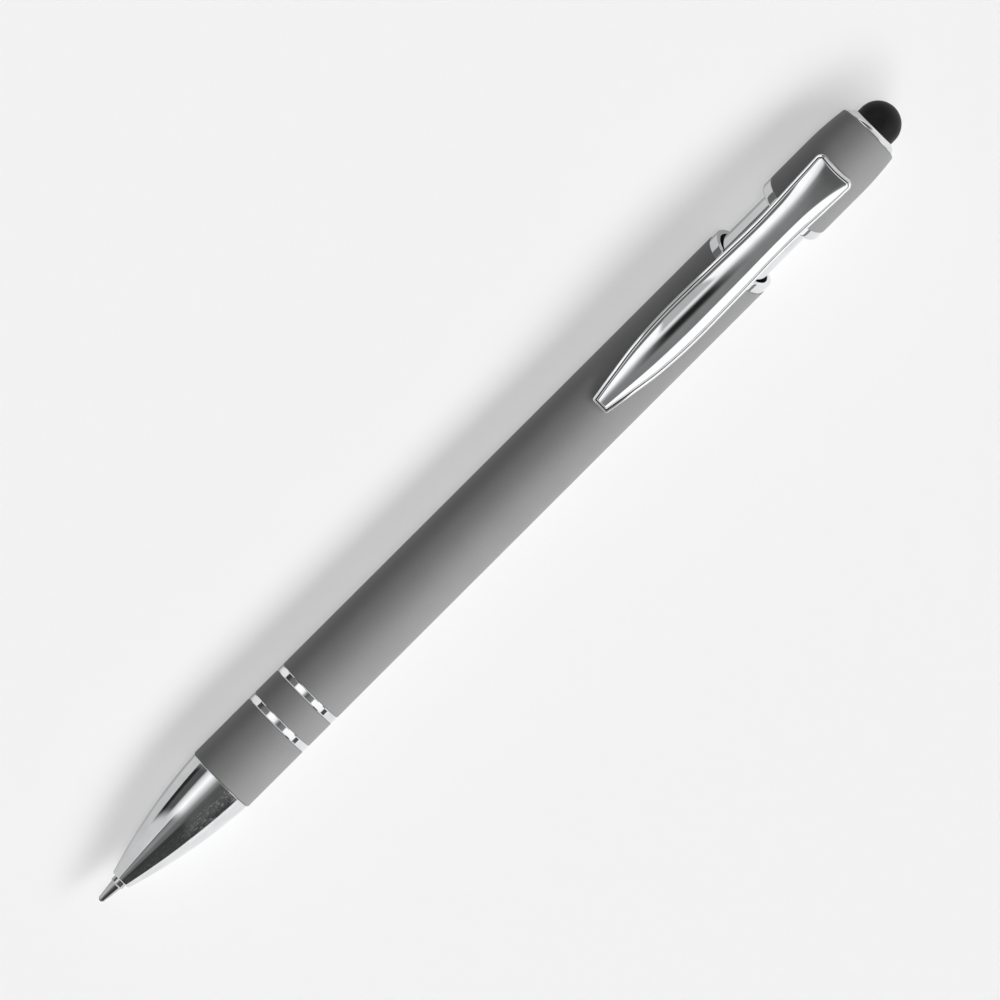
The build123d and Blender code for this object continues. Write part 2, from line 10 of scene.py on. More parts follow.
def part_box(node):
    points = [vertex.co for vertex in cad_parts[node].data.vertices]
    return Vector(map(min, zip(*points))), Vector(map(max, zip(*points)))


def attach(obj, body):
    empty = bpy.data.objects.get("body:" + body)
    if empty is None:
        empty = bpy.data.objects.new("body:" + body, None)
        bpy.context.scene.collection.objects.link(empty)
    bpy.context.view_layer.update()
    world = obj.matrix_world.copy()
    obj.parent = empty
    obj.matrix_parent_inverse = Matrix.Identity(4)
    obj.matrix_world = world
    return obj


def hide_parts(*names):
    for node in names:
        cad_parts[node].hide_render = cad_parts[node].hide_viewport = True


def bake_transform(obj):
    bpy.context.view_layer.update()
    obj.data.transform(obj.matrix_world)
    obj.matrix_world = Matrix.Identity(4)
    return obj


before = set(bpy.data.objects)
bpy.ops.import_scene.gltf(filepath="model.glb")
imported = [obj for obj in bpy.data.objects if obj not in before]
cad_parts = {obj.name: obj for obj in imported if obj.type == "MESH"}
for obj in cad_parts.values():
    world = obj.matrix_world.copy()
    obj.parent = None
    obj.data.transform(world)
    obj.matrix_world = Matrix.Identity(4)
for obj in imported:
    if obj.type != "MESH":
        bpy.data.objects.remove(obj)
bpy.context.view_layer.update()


# Barrel: a drawn aluminium tube, sprayed with grey soft-touch paint after its two ring grooves were
# turned. The front edge is eased by hand, and the rear end is cut on a slant for the collar.
mm = 0.001
barrel_low, barrel_high = (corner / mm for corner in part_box("barrel"))
axis_height = (barrel_low.z + barrel_high.z) / 2
barrel_radius = (barrel_high.z - barrel_low.z) / 2
barrel_bore = barrel_radius - 0.7
slant = math.tan(math.radians(21.8))
barrel_front = barrel_low.x
barrel_end = barrel_high.x - barrel_radius * slant
front_rounding, mouth_rounding, end_rounding = 0.16, 0.08, 0.06
ring_stations = [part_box(ring)[0].x / mm for ring in ("front_ring", "rear_ring")]
ring_width = 1.04
groove_floor = barrel_radius - 0.3
groove_rounding = 0.14


def eased(outline, steps=5):
    """Round the corners of a closed outline of (along, out, lean, rounding) points.

    A short straight run is kept beside each arc, so that flat faces stay flat when shaded smooth.
    """
    nearly_straight = 1.5
    most_of_side, half_of_side = 0.45, 0.5
    run = 1.6
    points = []
    for index, (along, out, lean, rounding) in enumerate(outline):
        corner = Vector((along, out))
        before = Vector(outline[index - 1][:2]) - corner
        after = Vector(outline[(index + 1) % len(outline)][:2]) - corner
        half = before.angle(after) / 2 if before.length and after.length else math.pi / 2
        if not rounding or half > nearly_straight:
            points.append((along, out, lean))
            continue
        reach = min(rounding / math.tan(half), most_of_side * before.length, most_of_side * after.length)
        first, last = before.normalized(), after.normalized()
        centre = corner + (first + last).normalized() * reach / math.cos(half)
        start, end = corner + first * reach - centre, corner + last * reach - centre
        swing = start.angle(end)
        if reach * run < half_of_side * before.length:
            points.append((*(corner + first * reach * run), lean))
        for step in range(steps + 1):
            share = step / steps
            spoke = start * math.sin((1 - share) * swing) + end * math.sin(share * swing)
            points.append((*(centre + spoke / math.sin(swing)), lean))
        if reach * run < half_of_side * after.length:
            points.append((*(corner + last * reach * run), lean))
    return points


def piece_of(name, shape):
    """Make an object of a finished shape and put it in the scene."""
    mesh = bpy.data.meshes.new(name)
    shape.to_mesh(mesh)
    shape.free()
    piece = bpy.data.objects.new(name, mesh)
    bpy.context.scene.collection.objects.link(piece)
    return piece


def turned(name, outline, material, around=160):
    """Turn a closed outline about the pen's axis; points that lean follow the slanted cut."""
    on_axis = 1e-6
    shape = bmesh.new()
    rows = []
    for along, out, lean in outline:
        if out < on_axis:
            rows.append([shape.verts.new((along * mm, 0, axis_height * mm))] * around)
            continue
        row = []
        for step in range(around):
            angle = 2 * math.pi * step / around
            rise = out * math.sin(angle)
            spot = Vector((along - lean * slant * rise, out * math.cos(angle), axis_height + rise))
            row.append(shape.verts.new(spot * mm))
        rows.append(row)
    for row, following in zip(rows, rows[1:] + rows[:1]):
        for step in range(around):
            onward = (step + 1) % around
            corners = dict.fromkeys([row[step], row[onward], following[onward], following[step]])
            if len(corners) > 2:
                shape.faces.new(list(corners))
    bmesh.ops.recalc_face_normals(shape, faces=shape.faces)
    for face in shape.faces:
        face.smooth = True
    piece = piece_of(name, shape)
    piece.data.materials.append(material)
    return piece


def colour(code):
    """A linear colour from an sRGB hex value."""
    parts = [int(code[digit:digit + 2], 16) / 255 for digit in (1, 3, 5)]
    return (*[p / 12.92 if p <= 0.04045 else ((p + 0.055) / 1.055) ** 2.4 for p in parts], 1.0)


def blank(name):
    """A new material and its node tree, still empty."""
    material = bpy.data.materials.new(name)
    material.use_nodes = True
    material.node_tree.nodes.clear()
    return material, material.node_tree


def put(tree, kind, settings=(), values=(), links=(), stops=()):
    """Add a node with its settings, its input values, the outputs that feed it and a ramp's stops."""
    node = tree.nodes.new(kind)
    for name, setting in dict(settings).items():
        setattr(node, name, setting)
    for socket, value in dict(values).items():
        node.inputs[socket].default_value = value
    for socket, source in dict(links).items():
        tree.links.new(source, node.inputs[socket])
    for number, (position, shade) in enumerate(stops):
        if number == len(node.color_ramp.elements):
            node.color_ramp.elements.new(position)
        node.color_ramp.elements[number].position = position
        node.color_ramp.elements[number].color = shade
    return node


# Soft-touch paint: a sprayed rubbery lacquer. It scatters light evenly, with a faint grain and no gloss.
soft_touch_paint, tree = blank("soft_touch_paint")
place = put(tree, "ShaderNodeTexCoord").outputs["Object"]
# The real grain is about 0.05 mm, drawn at 0.2 mm so that it shows.
grain = put(tree, "ShaderNodeTexNoise", values={"Scale": 1 / (0.2 * mm), "Detail": 3.0, "Roughness": 0.6},
            links={"Vector": place}).outputs["Fac"]
cloud = put(tree, "ShaderNodeTexNoise", values={"Scale": 1 / (6 * mm), "Detail": 2.0},
            links={"Vector": place}).outputs["Fac"]
mottle = put(tree, "ShaderNodeMix", {"data_type": "FLOAT"}, {"Factor": 0.35}, {"A": grain, "B": cloud})
tint = put(tree, "ShaderNodeValToRGB", links={"Fac": mottle.outputs["Result"]},
           stops=[(0.3, colour("#797979")), (0.7, colour("#818181"))])
dull = put(tree, "ShaderNodeMapRange",
           values={"From Min": 0.3, "From Max": 0.7, "To Min": 0.56, "To Max": 0.68}, links={"Value": grain})
bump = put(tree, "ShaderNodeBump", values={"Strength": 0.12, "Distance": 0.02 * mm}, links={"Height": grain})
shader = put(tree, "ShaderNodeBsdfPrincipled",
             values={"IOR": 1.45, "Specular IOR Level": 0.35, "Sheen Weight": 0.06, "Sheen Roughness": 0.5},
             links={"Base Color": tint.outputs["Color"], "Roughness": dull.outputs["Result"],
                    "Normal": bump.outputs["Normal"]})
put(tree, "ShaderNodeOutputMaterial", links={"Surface": shader.outputs["BSDF"]})

outline = [
    (barrel_front, barrel_bore, 0, mouth_rounding),
    (barrel_front, barrel_radius, 0, front_rounding),
]
for station in ring_stations:
    outline += [
        (station, barrel_radius, 0, groove_rounding),
        (station, groove_floor, 0, 0),
        (station + ring_width, groove_floor, 0, 0),
        (station + ring_width, barrel_radius, 0, groove_rounding),
    ]
outline += [(barrel_end, barrel_radius, 1, end_rounding), (barrel_end, barrel_bore, 1, 0)]
barrel_tube = turned("barrel_tube", eased(outline), soft_touch_paint)
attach(barrel_tube, "barrel")
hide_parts("barrel")


# Trim rings: two narrow brass rings, plated bright and sprung into grooves in the barrel. Each stands a
# hair proud of the paint, flat across and chamfered on both edges.
ring_radius = barrel_radius + 0.02
ring_bore = groove_floor + 0.05
chamfer_width, chamfer_depth = 0.15, 0.1
flank_rounding, chamfer_rounding = 0.02, 0.03

# Bright plate: polished nickel and chrome. A clear mirror, slightly wavy from the polishing wheel, with
# a few fine pits that catch dust.
bright_plate, tree = blank("bright_plate")
place = put(tree, "ShaderNodeTexCoord").outputs["Object"]
wave = put(tree, "ShaderNodeTexNoise", values={"Scale": 1 / (2.5 * mm), "Detail": 1.0},
           links={"Vector": place}).outputs["Fac"]
# Pits are about 0.02 mm across, drawn at 0.12 mm so that they show.
pit = put(tree, "ShaderNodeTexNoise", values={"Scale": 1 / (0.12 * mm), "Detail": 2.0, "Roughness": 0.7},
          links={"Vector": place}).outputs["Fac"]
speck = put(tree, "ShaderNodeMapRange",
            values={"From Min": 0.62, "From Max": 0.78, "To Min": 0.045, "To Max": 0.22},
            links={"Value": pit})
tint = put(tree, "ShaderNodeValToRGB", links={"Fac": wave},
           stops=[(0.25, colour("#e4e5e7")), (0.75, colour("#eeeff0"))])
bump = put(tree, "ShaderNodeBump", values={"Strength": 0.05, "Distance": 0.02 * mm}, links={"Height": wave})
shader = put(tree, "ShaderNodeBsdfPrincipled", values={"Metallic": 1.0},
             links={"Base Color": tint.outputs["Color"], "Roughness": speck.outputs["Result"],
                    "Normal": bump.outputs["Normal"]})
put(tree, "ShaderNodeOutputMaterial", links={"Surface": shader.outputs["BSDF"]})

for name, station in zip(("front_ring", "rear_ring"), ring_stations):
    outline = [
        (station, ring_bore, 0, 0),
        (station, ring_radius - chamfer_depth, 0, flank_rounding),
        (station + chamfer_width, ring_radius, 0, chamfer_rounding),
        (station + ring_width - chamfer_width, ring_radius, 0, chamfer_rounding),
        (station + ring_width, ring_radius - chamfer_depth, 0, flank_rounding),
        (station + ring_width, ring_bore, 0, 0),
    ]
    trim = turned("trim_" + name, eased(outline), bright_plate)
    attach(trim, "barrel")
    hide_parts(name)


# Front bush: a turned brass bush glued into the front of the barrel, with the thread that the nose screws
# into. It shows only when the nose is off.
wave_repeat = 0.314  # Length in which Blender's wave texture repeats at a scale of 1


def dress(node, material):
    """Give a CAD node a finish of its own."""
    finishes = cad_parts[node].data.materials
    finishes.clear()
    finishes.append(material)


def tool_marked(name, spacing, waver, tints, roughness):
    """A turned metal with fine rings from the tool, spaced in mm, in two tints and two roughnesses."""
    material, tree = blank(name)
    place = put(tree, "ShaderNodeTexCoord").outputs["Object"]
    marks = put(tree, "ShaderNodeTexWave", {"wave_type": "BANDS", "bands_direction": "X"},
                {"Scale": wave_repeat / (spacing * mm), "Distortion": waver, "Detail": 2.0},
                {"Vector": place}).outputs["Fac"]
    tint = put(tree, "ShaderNodeValToRGB", links={"Fac": marks},
               stops=[(0.0, colour(tints[0])), (1.0, colour(tints[1]))])
    dull = put(tree, "ShaderNodeMapRange", values={"To Min": roughness[0], "To Max": roughness[1]},
               links={"Value": marks})
    shader = put(tree, "ShaderNodeBsdfPrincipled", values={"Metallic": 1.0},
                 links={"Base Color": tint.outputs["Color"], "Roughness": dull.outputs["Result"]})
    put(tree, "ShaderNodeOutputMaterial", links={"Surface": shader.outputs["BSDF"]})
    return material


# Turned brass: warm yellow and fairly bright. The tool's marks are about 0.05 mm apart, drawn at 0.15 mm so
# that they show.
turned_brass = tool_marked("turned_brass", spacing=0.15, waver=1.5, tints=("#c7a35a", "#d8b66c"),
                           roughness=(0.2, 0.32))
dress("front_bush", turned_brass)


# Nose cone: an ogive turned from brass and plated bright. Its threaded spigot screws into the bush, and
# the bore guides the point.
nose_low, nose_high = (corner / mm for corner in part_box("nose_cone"))
nose_front, spigot_end = nose_low.x, nose_high.x
nose_shoulder = barrel_front - 0.02
nose_rim_radius = 1.36
nose_base_radius = barrel_radius - 0.1
nose_bulge = 0.55
nose_bore, nose_bore_length = 1.02, 2.73
counterbore, counterbore_length = 1.7, 3.0
chamber_radius = 2.3
counterbore_front = nose_front + nose_bore_length
chamber_front = counterbore_front + counterbore_length
spigot_radius = 3.3
thread_depth = 0.28
thread_pitch = 0.75
thread_root = spigot_radius - thread_depth
thread_margin = 0.6
thread_sink = 0.02
thread_length = spigot_end - barrel_front - 2 * thread_margin


def bulged(start, end, bulge, steps):
    """Outline points of a line from one (along, out) place to another that bulges outwards."""
    along, out = end[0] - start[0], end[1] - start[1]
    points = []
    for step in range(steps + 1):
        share = step / steps
        lean = 4 * bulge * share * (1 - share) / math.hypot(along, out)
        points.append((start[0] + along * share - out * lean, start[1] + out * share + along * lean, 0, 0))
    return points


ogive = bulged((nose_front, nose_rim_radius), (barrel_front, nose_base_radius), nose_bulge, 40)
# The first three points of the ogive and its last give way to the rounded rim and shoulder.
outline = [(nose_front, nose_bore, 0, 0.06), (nose_front, nose_rim_radius, 0, 0.22)] + ogive[3:-1] + [
    (nose_shoulder, nose_base_radius, 0, 0.08),
    (nose_shoulder, thread_root, 0, 0.05),
    (spigot_end, thread_root, 0, 0.2),
    (spigot_end, chamber_radius, 0, 0.08),
    (chamber_front, chamber_radius, 0, 0),
    (chamber_front, counterbore, 0, 0),
    (counterbore_front, counterbore, 0, 0),
    (counterbore_front, nose_bore, 0, 0),
]
nose_shell = turned("nose_shell", eased(outline), bright_plate)
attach(nose_shell, "nose")
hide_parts("nose_cone")


def settle(piece, modifier):
    """Take what a modifier makes of a piece as its plain mesh."""
    whole = bpy.data.meshes.new_from_object(piece.evaluated_get(bpy.context.evaluated_depsgraph_get()))
    piece.modifiers.remove(modifier)
    piece.data = whole


def wound(name, material, turns, radius, length, start, section, sides):
    """A wire or ridge wound round the pen's axis by a Geometry Nodes tree, as a plain mesh."""
    tree = bpy.data.node_groups.new(name + "_tree", "GeometryNodeTree")
    sizes = {"Turns": turns, "Radius": radius * mm, "Length": length * mm, "Start": start * mm,
             "Section": section * mm}
    sockets = {}
    for label in sizes:
        socket = tree.interface.new_socket(label, in_out="INPUT", socket_type="NodeSocketFloat")
        sockets[label] = socket.identifier
    tree.interface.new_socket("Geometry", in_out="OUTPUT", socket_type="NodeSocketGeometry")
    given = put(tree, "NodeGroupInput").outputs
    coil = put(tree, "GeometryNodeCurveSpiral", values={"Resolution": 64},
               links={"Rotations": given["Turns"], "Start Radius": given["Radius"],
                      "End Radius": given["Radius"], "Height": given["Length"]})
    wire = put(tree, "GeometryNodeCurvePrimitiveCircle", values={"Resolution": sides},
               links={"Radius": given["Section"]})
    swept = put(tree, "GeometryNodeCurveToMesh", values={"Fill Caps": True},
                links={"Curve": coil.outputs["Curve"], "Profile Curve": wire.outputs["Curve"]})
    shift = put(tree, "ShaderNodeCombineXYZ", values={"Z": axis_height * mm}, links={"X": given["Start"]})
    placed = put(tree, "GeometryNodeTransform", values={"Rotation": (0.0, math.pi / 2, 0.0)},
                 links={"Geometry": swept.outputs["Mesh"], "Translation": shift.outputs["Vector"]})
    smooth = put(tree, "GeometryNodeSetShadeSmooth", links={"Geometry": placed.outputs["Geometry"]})
    real = put(tree, "GeometryNodeRealizeInstances", links={"Geometry": smooth.outputs["Geometry"]})
    finish = put(tree, "GeometryNodeSetMaterial", values={"Material": material},
                 links={"Geometry": real.outputs["Geometry"]})
    put(tree, "NodeGroupOutput", links={"Geometry": finish.outputs["Geometry"]})
    piece = bpy.data.objects.new(name, bpy.data.meshes.new(name))
    bpy.context.scene.collection.objects.link(piece)
    winding = piece.modifiers.new("winding", "NODES")
    winding.node_group = tree
    for label, size in sizes.items():
        winding[sockets[label]] = size
    settle(piece, winding)
    return piece


nose_thread = wound("nose_thread", bright_plate, turns=thread_length / thread_pitch,
                    radius=thread_root - thread_sink, length=thread_length,
                    start=barrel_front + thread_margin, section=thread_depth, sides=6)
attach(nose_thread, "nose")


# Writing ball and point: a ground hard-metal ball rolled into the lip of a turned nickel-silver point. The
# shank behind the cone is what runs in the nose.
ball_radius = 0.35
ball_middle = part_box("writing_ball")[0].x / mm + ball_radius
point_low, point_high = (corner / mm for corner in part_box("point"))
lip_front, stem_end = point_low.x, point_high.x
socket_mouth, socket_radius, ink_bore = 0.33, 0.37, 0.2
socket_front, socket_floor, ink_bore_front = lip_front + 0.15, lip_front + 0.4, lip_front + 0.65
lip_outside, cone_radius, shank_radius, stem_radius = 0.42, 0.77, 0.93, 0.6
cone_end = lip_front + 2.63
shank_front = cone_end + 0.2
stem_front = stem_end - 2.2


def clouded(name, size, detail, tints, values, roughness=None, spread=(0.0, 1.0)):
    """A finish with soft clouds of a size in mm, between two tints and, if given, two roughnesses."""
    material, tree = blank(name)
    place = put(tree, "ShaderNodeTexCoord").outputs["Object"]
    cloud = put(tree, "ShaderNodeTexNoise", values={"Scale": 1 / (size * mm), "Detail": detail},
                links={"Vector": place}).outputs["Fac"]
    tint = put(tree, "ShaderNodeValToRGB", links={"Fac": cloud},
               stops=[(position, colour(code)) for position, code in zip(spread, tints)])
    links = {"Base Color": tint.outputs["Color"]}
    if roughness:
        dull = put(tree, "ShaderNodeMapRange", values={"To Min": roughness[0], "To Max": roughness[1]},
                   links={"Value": cloud})
        links["Roughness"] = dull.outputs["Result"]
    shader = put(tree, "ShaderNodeBsdfPrincipled", values=values, links=links)
    put(tree, "ShaderNodeOutputMaterial", links={"Surface": shader.outputs["BSDF"]})
    return material


# Hard metal: sintered carbide, ground and inked, so it is dark and shines a little.
hard_metal = clouded("hard_metal", size=0.25, detail=2.0, tints=("#3a3a40", "#77777c"),
                     values={"Metallic": 1.0, "Roughness": 0.24}, spread=(0.4, 0.6))

steps = 24
outline = []
for step in range(steps + 1):
    angle = math.pi * step / steps
    outline.append((ball_middle - ball_radius * math.cos(angle), ball_radius * math.sin(angle), 0))
point_ball = turned("point_ball", outline, hard_metal, around=48)
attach(point_ball, "ball")
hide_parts("writing_ball")

# Nickel silver: a pale alloy, turned and left bright. The tool's marks are about 0.05 mm apart, drawn at
# 0.12 mm so that they show.
nickel_silver = tool_marked("nickel_silver", spacing=0.12, waver=1.0, tints=("#c9c9c8", "#d6d6d5"),
                            roughness=(0.14, 0.2))

outline = [
    (lip_front, socket_mouth, 0, 0),
    (lip_front, lip_outside, 0, 0.05),
    (cone_end, cone_radius, 0, 0.03),
    (shank_front, shank_radius, 0, 0.08),
    (stem_front, shank_radius, 0, 0.05),
    (stem_front, stem_radius, 0, 0),
    (stem_end, stem_radius, 0, 0.05),
    (stem_end, ink_bore, 0, 0),
    (ink_bore_front, ink_bore, 0, 0),
    (socket_floor, socket_radius, 0, 0),
    (socket_front, socket_radius, 0, 0),
]
point_body = turned("point_body", eased(outline), nickel_silver, around=96)
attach(point_body, "refill")
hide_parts("point")


# Refill: the point's holder is turned, and the ink tube is drawn from the same pale alloy with two ears
# crimped out for the spring. The paste shows only through the open end.
dress("point_holder", nickel_silver)
dress("ink_tube", nickel_silver)

# Ink paste: a thick black paste with a wet shine.
ink_paste = clouded("ink_paste", size=0.8, detail=1.0, tints=("#0b0b12", "#15151f"),
                    values={"Roughness": 0.15, "IOR": 1.5})
dress("ink", ink_paste)


# Return spring: hard-drawn steel wire wound round the refill. One end stands on the nose's shoulder and
# the other on the tube's ears.
spring_low, spring_high = (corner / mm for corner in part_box("spring"))
wire_radius = 0.2
coil_radius = 1.875
coil_front = chamber_front + 0.05 + wire_radius
coil_rear = spring_high.x - 0.14

# Spring steel: drawn wire, grey and half bright, with faint clouds of oxide.
spring_steel = clouded("spring_steel", size=0.5, detail=3.0, tints=("#a9abaf", "#c3c5c9"),
                       values={"Metallic": 1.0}, roughness=(0.2, 0.34))

return_spring = wound("return_spring", spring_steel, turns=7, radius=coil_radius,
                      length=coil_rear - coil_front, start=coil_front, section=wire_radius, sides=12)
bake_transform(return_spring)
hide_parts("spring")


# Push mechanism: the rotor and plunger are moulded in natural acetal, and the cam sleeve and the cap's core
# in black ABS. They are hidden while the pen is together.

# Natural acetal: milky and waxy, so a little light goes in.
natural_acetal = clouded("natural_acetal", size=1.5, detail=3.0, tints=("#e6e3da", "#f0eee7"),
                         values={"IOR": 1.48, "Subsurface Weight": 0.15, "Subsurface Scale": 0.5 * mm},
                         roughness=(0.3, 0.42))
dress("rotor", natural_acetal)
dress("plunger", natural_acetal)

# Black ABS: moulded with a fine spark texture, dark and satin.
black_moulding, tree = blank("black_moulding")
place = put(tree, "ShaderNodeTexCoord").outputs["Object"]
# The texture is about 0.03 mm, drawn at 0.15 mm so that it shows.
spark = put(tree, "ShaderNodeTexNoise", values={"Scale": 1 / (0.15 * mm), "Detail": 2.0},
            links={"Vector": place}).outputs["Fac"]
tint = put(tree, "ShaderNodeValToRGB", links={"Fac": spark},
           stops=[(0.0, colour("#19191a")), (1.0, colour("#242425"))])
bump = put(tree, "ShaderNodeBump", values={"Strength": 0.2, "Distance": 0.02 * mm}, links={"Height": spark})
shader = put(tree, "ShaderNodeBsdfPrincipled", values={"IOR": 1.53, "Roughness": 0.45},
             links={"Base Color": tint.outputs["Color"], "Normal": bump.outputs["Normal"]})
put(tree, "ShaderNodeOutputMaterial", links={"Surface": shader.outputs["BSDF"]})
dress("cam_sleeve", black_moulding)
dress("cap_core", black_moulding)


# Rear collar: turned brass, plated bright, pressed into the barrel's slanted end. Its lip stands round the
# neck like a shallow cup, so a dark crescent shows at the mouth, deepened by painted shade inside it.
collar_front = (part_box("rear_collar")[0] / mm).x
collar_end = barrel_end + 1.25
cup_floor = barrel_end + 0.35
lip_radius = barrel_radius - 0.09
mouth_radius = lip_radius - 0.65
guide_bore = 3.65
insert_radius = barrel_bore - 0.05
bright_depth = 0.7
painted_shade_start = collar_end - bright_depth
outline = [
    (collar_front, guide_bore, 0, 0),
    (collar_front, insert_radius, 0, 0.1),
    (barrel_end, insert_radius, 1, 0),
    (barrel_end, lip_radius, 1, 0.04),
    (collar_end, lip_radius, 1, 0.14),
    (collar_end, mouth_radius, 1, 0.06),
    (painted_shade_start, mouth_radius, 1, 0),
    (cup_floor, mouth_radius, 1, 0),
    (cup_floor, guide_bore, 1, 0.05),
]
slanted_collar = turned("slanted_collar", eased(outline), bright_plate)

# Painted shade: a little way into the mouth, the inside turns nearly black and rough, standing for
# the shade in the narrow gap. The clip's crease gets the same painted shade.
painted_gap_shade = clouded("painted_gap_shade", size=0.4, detail=3.0, tints=("#101010", "#1d1c1b"),
                    values={"Roughness": 0.7, "Specular IOR Level": 0.2})
slanted_collar.data.materials.append(painted_gap_shade)
painted_shade_radius = mouth_radius + 0.01
# Faces inside the mouth, past the bright depth, get the painted shade.
for face in slanted_collar.data.polygons:
    along, across, rise = face.center / mm - Vector((0, 0, axis_height))
    inside = math.hypot(across, rise) < painted_shade_radius
    face.material_index = inside and along + slant * rise < painted_shade_start
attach(slanted_collar, "barrel")
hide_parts("rear_collar")


# Neck tube: drawn steel tube, polished and plated bright. It slides in the collar's bore and carries the
# cap on its rear end.
neck_low, neck_high = (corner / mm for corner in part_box("neck_tube"))
neck_radius = (neck_high.z - neck_low.z) / 2
neck_bore = neck_radius - 0.6
outline = [
    (neck_low.x, neck_bore, 0, 0.05),
    (neck_low.x, neck_radius, 0, 0.1),
    (neck_high.x, neck_radius, 0, 0.1),
    (neck_high.x, neck_bore, 0, 0.05),
]
sliding_neck = turned("sliding_neck", eased(outline), bright_plate)
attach(sliding_neck, "cap")
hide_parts("neck_tube")


# Cap: a plated ring on the slanted front, and an aluminium shell in the barrel's paint that draws in
# towards the stylus. A slot on top takes the foot of the clip.
cap_end = (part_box("cap_shell")[1] / mm).x
cap_radius = barrel_radius - 0.05
cap_ring_end = cap_end - 12.5
cap_front = cap_ring_end - 1.5
cap_ring_bore = neck_radius + 0.05
cap_ring_step = cap_ring_bore + 0.3
core_front = neck_high.x
outline = [
    (cap_front, cap_ring_bore, 1, 0.08),
    (cap_front, cap_radius, 1, 0.42),
    (cap_ring_end, cap_radius, 1, 0.04),
    (cap_ring_end, cap_ring_step, 1, 0),
    (core_front, cap_ring_step, 0, 0),
    (core_front, cap_ring_bore, 0, 0),
]
slanted_ring = turned("slanted_ring", eased(outline), bright_plate)
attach(slanted_ring, "cap")
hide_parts("cap_ring")

cap_bore = cap_ring_bore + 0.35
rear_bore, rear_bore_length = cap_bore - 0.25, 2.6
rear_radius = 4.27
taper_front = cap_ring_end + 6.5
steps = 12
taper = []
for step in range(steps + 1):
    share = step / steps
    draw_in = (cap_radius - rear_radius) * share * share
    taper.append((taper_front + (cap_end - taper_front) * share, cap_radius - draw_in, 0, 0))
taper[-1] = (cap_end, rear_radius, 0, 0.4)
outline = [(cap_ring_end, cap_bore, 1, 0), (cap_ring_end, cap_radius, 1, 0.04)] + taper + [
    (cap_end, rear_bore, 0, 0),
    (cap_end - rear_bore_length, rear_bore, 0, 0),
    (cap_end - rear_bore_length, cap_bore, 0, 0),
]
painted_cap = turned("painted_cap", eased(outline), soft_touch_paint)
clip_setback, foot_setback, foot_length = 5.9, 0.5, 1.9
foot_middle = cap_end - clip_setback - foot_setback - foot_length / 2
slot_height, slot_size = 4.4, (2.3, 2.8, 4.0)


def block(shape, height, size):
    """Add a block to a shape over the middle of the clip's foot, and give back its corners."""
    middle = Matrix.Translation(Vector((foot_middle, 0, axis_height + height)) * mm)
    return bmesh.ops.create_cube(shape, size=mm, matrix=middle @ Matrix.Diagonal((*size, 1)))["verts"]


shape = bmesh.new()
block(shape, slot_height, slot_size)
slot_cutter = piece_of("slot_cutter", shape)
cut = painted_cap.modifiers.new("slot", "BOOLEAN")
cut.object = slot_cutter
cut.solver = "EXACT"
settle(painted_cap, cut)
bpy.data.objects.remove(slot_cutter)
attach(painted_cap, "cap")
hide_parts("cap_shell")


# Stylus end: a plated ring, pressed into the rear of the cap, holds a dome of conductive rubber by its
# flange. The dome is hollow, so that it gives under a light touch.
end_ring_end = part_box("end_ring")[1].x / mm
end_ring_front_radius, end_ring_rear_radius, end_ring_bulge = 4.0, 3.15, 0.12
skirt_bore, skirt_radius = 3.33, 3.68
skirt_front = cap_end - 1.7
dome_radius = 2.94
dome_hole = dome_radius + 0.05
outline = bulged((cap_end, end_ring_front_radius), (end_ring_end, end_ring_rear_radius), end_ring_bulge, 10)
outline += [
    (end_ring_end, dome_hole, 0, 0.03),
    (cap_end, dome_hole, 0, 0),
    (cap_end, skirt_bore, 0, 0),
    (skirt_front, skirt_bore, 0, 0),
    (skirt_front, skirt_radius, 0, 0),
    (cap_end, skirt_radius, 0, 0),
]
stylus_ring = turned("stylus_ring", eased(outline), bright_plate)
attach(stylus_ring, "cap")
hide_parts("end_ring")

# Conductive rubber: carbon-filled silicone, moulded smooth. Nearly black and matte.
stylus_rubber, tree = blank("stylus_rubber")
place = put(tree, "ShaderNodeTexCoord").outputs["Object"]
# Dust and moulding grain, about 0.05 mm, drawn at 0.25 mm so that they show.
dust = put(tree, "ShaderNodeTexNoise", values={"Scale": 1 / (0.25 * mm), "Detail": 4.0, "Roughness": 0.65},
           links={"Vector": place}).outputs["Fac"]
tint = put(tree, "ShaderNodeValToRGB", links={"Fac": dust},
           stops=[(0.35, colour("#0e0e0e")), (0.75, colour("#191919"))])
dull = put(tree, "ShaderNodeMapRange", values={"To Min": 0.42, "To Max": 0.6}, links={"Value": dust})
bump = put(tree, "ShaderNodeBump", values={"Strength": 0.1, "Distance": 0.02 * mm}, links={"Height": dust})
shader = put(tree, "ShaderNodeBsdfPrincipled", values={"IOR": 1.45, "Specular IOR Level": 0.25},
             links={"Base Color": tint.outputs["Color"], "Roughness": dull.outputs["Result"],
                    "Normal": bump.outputs["Normal"]})
put(tree, "ShaderNodeOutputMaterial", links={"Surface": shader.outputs["BSDF"]})

flange_front, dome_end = (corner.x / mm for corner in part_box("stylus_tip"))
flange_end = flange_front + 0.85
flange_radius = 3.28
dome_middle = dome_end - dome_radius
dome_wall = 0.7
hollow = dome_radius - dome_wall
steps = 24
outline = []
for step in range(steps):
    angle = math.pi / 2 * step / steps
    outline.append((dome_middle + dome_radius * math.sin(angle), dome_radius * math.cos(angle), 0, 0))
outline += [
    (dome_end, 0, 0, 0),
    (dome_end - dome_wall, 0, 0, 0),
    (dome_middle, hollow, 0, 0),
    (flange_front, hollow, 0, 0),
    (flange_front, flange_radius, 0, 0.05),
    (flange_end, flange_radius, 0, 0.05),
    (flange_end, dome_radius, 0, 0),
]
stylus_dome = turned("stylus_dome", eased(outline), stylus_rubber)
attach(stylus_dome, "cap")
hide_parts("stylus_tip")


